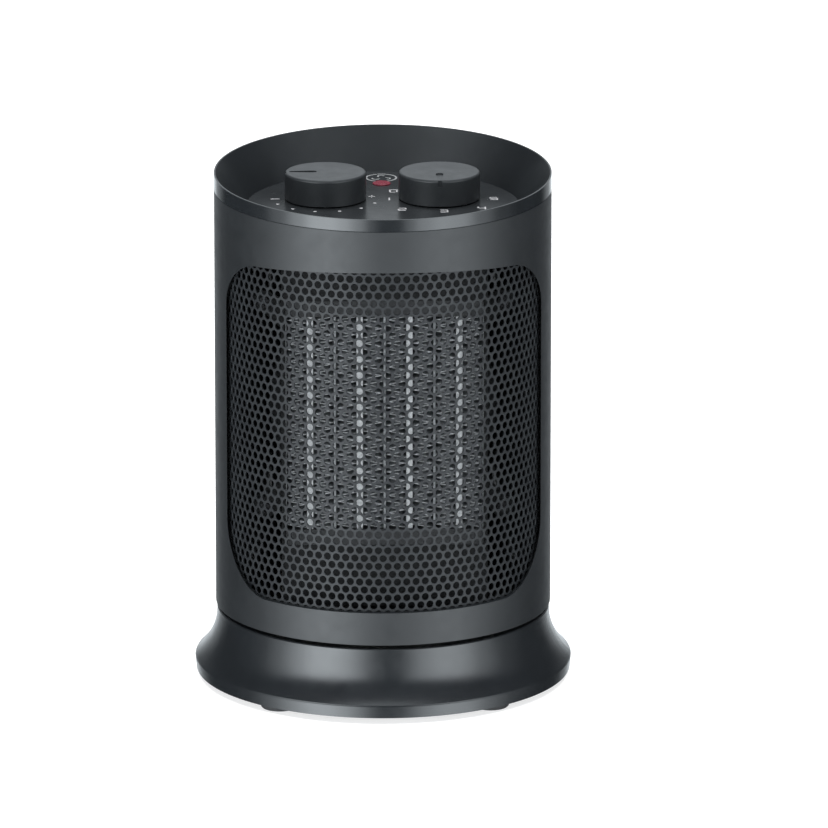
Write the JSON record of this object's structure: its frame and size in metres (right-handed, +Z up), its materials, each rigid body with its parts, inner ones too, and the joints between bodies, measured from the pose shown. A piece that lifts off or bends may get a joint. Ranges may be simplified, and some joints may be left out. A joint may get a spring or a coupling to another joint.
{
  "type": "ceramic space heater",
  "caption": "Upright round fan heater on a flared base, with a wrap-around perforated front grille over a ceramic core and control knobs in a dished, tilted top.",
  "frame": {"origin": "on the floor, on the vertical axis that the tower swings about", "axes": "+Z up along the tower, -Y towards the front grille, +X to the right seen from the front"},
  "size_m": [0.1852, 0.1852, 0.2567],
  "materials": {
    "shell_plastic": "satin moulded",
    "base_plastic": "satin moulded",
    "bezel_plastic": "semi-gloss moulded",
    "panel_plastic": "fine matte moulded",
    "knob_plastic": "fine matte moulded",
    "grille_metal": "satin paint",
    "inner_plastic": "matte, heat resistant",
    "rubber": "matte",
    "aluminium": "mill",
    "steel": "zinc plated",
    "acetal": "natural, moulded",
    "lamination": "varnished laminations",
    "copper_coil": "enamelled wire",
    "brass": "plain",
    "lens_red": "clear red",
    "lamp_glass": "clear",
    "phenolic": "moulded phenolic",
    "panel_ink": "pad print"
  },
  "bodies": {
    "base": {"base_skirt": "base_plastic", "base_plate": "base_plastic", "base_plate_screws": "steel", "rubber_feet": "rubber", "cord_gland": "rubber", "cord_clamp": "inner_plastic", "cord_clamp_screws": "steel", "slide_ring": "acetal", "fixed_gear": "acetal", "fixed_gear_screws": "steel", "tip_spring": "steel", "tip_switch_holder": "steel", "tip_switch": "phenolic", "tip_switch_screws": "steel"},
    "plunger": {"tip_plunger": "acetal"},
    "pinion": {"drive_pinion": "acetal", "swing_motor_shaft": "steel"},
    "fan": {"fan_blade": "inner_plastic", "motor_shaft": "steel", "motor_rotor": "lamination"},
    "thermostat_dial": {"thermostat_knob": "knob_plastic", "thermostat_shaft": "steel"},
    "mode_dial": {"mode_knob": "knob_plastic", "mode_shaft": "steel"},
    "tower": {"turntable": "inner_plastic", "turntable_screws": "steel", "pivot_bush": "acetal", "swing_motor": "steel", "swing_motor_screws": "steel", "front_shell": "shell_plastic", "rear_shell": "shell_plastic", "shell_screws": "steel", "rear_grille": "shell_plastic", "front_grille": "grille_metal", "grille_frame": "inner_plastic", "top_bezel": "bezel_plastic", "bezel_screws": "steel", "control_panel": "panel_plastic", "control_screws": "steel", "thermostat": "phenolic", "mode_switch": "phenolic", "indicator_lens": "lens_red", "indicator_lamp": "lamp_glass", "ptc_bars": "aluminium", "fin_plates": "aluminium", "fin_strips": "aluminium", "ptc_end_caps": "inner_plastic", "ptc_terminals": "brass", "heater_duct": "inner_plastic", "duct_screws": "steel", "thermal_cutout": "phenolic", "thermal_fuse": "aluminium", "fan_shroud": "inner_plastic", "motor_stator": "lamination", "motor_coil": "copper_coil", "motor_front_bracket": "steel", "motor_rear_bracket": "steel", "motor_bearings": "brass", "motor_screws": "steel", "terminal_block": "phenolic"}
  },
  "joints": [
    {"name": "swing", "type": "hinge", "parent": "base", "child": "tower", "pos_m": [0, 0, 0.036], "axis": [0, 0, 1], "range_deg": [-35, 35]},
    {"name": "pinion_spin", "type": "hinge", "parent": "tower", "child": "pinion", "pos_m": [0, 0.028, 0.048], "axis": [0, 0, 1], "range_deg": [-90, 90]},
    {"name": "fan_spin", "type": "hinge", "parent": "tower", "child": "fan", "pos_m": [0, -0.0075, 0.142], "axis": [0, -1, 0], "continuous": true},
    {"name": "thermostat_turn", "type": "hinge", "parent": "tower", "child": "thermostat_dial", "pos_m": [-0.0278, 0.0125, 0.244], "axis": [0, 0, 1], "range_deg": [-15, 195]},
    {"name": "mode_turn", "type": "hinge", "parent": "tower", "child": "mode_dial", "pos_m": [0.0278, 0.0125, 0.244], "axis": [0, 0, 1], "range_deg": [-135, 90]},
    {"name": "tip_plunger_slide", "type": "slide", "parent": "base", "child": "plunger", "axis": [0, 0, 1], "range_m": [-0.004, 0], "stiffness_N_per_m": 120, "springref_m": -0.008, "deforming": ["tip_spring"]}
  ],
  "couplings": [
    {"joint": "pinion_spin", "follows": "swing", "ratio": 2.5}
  ]
}
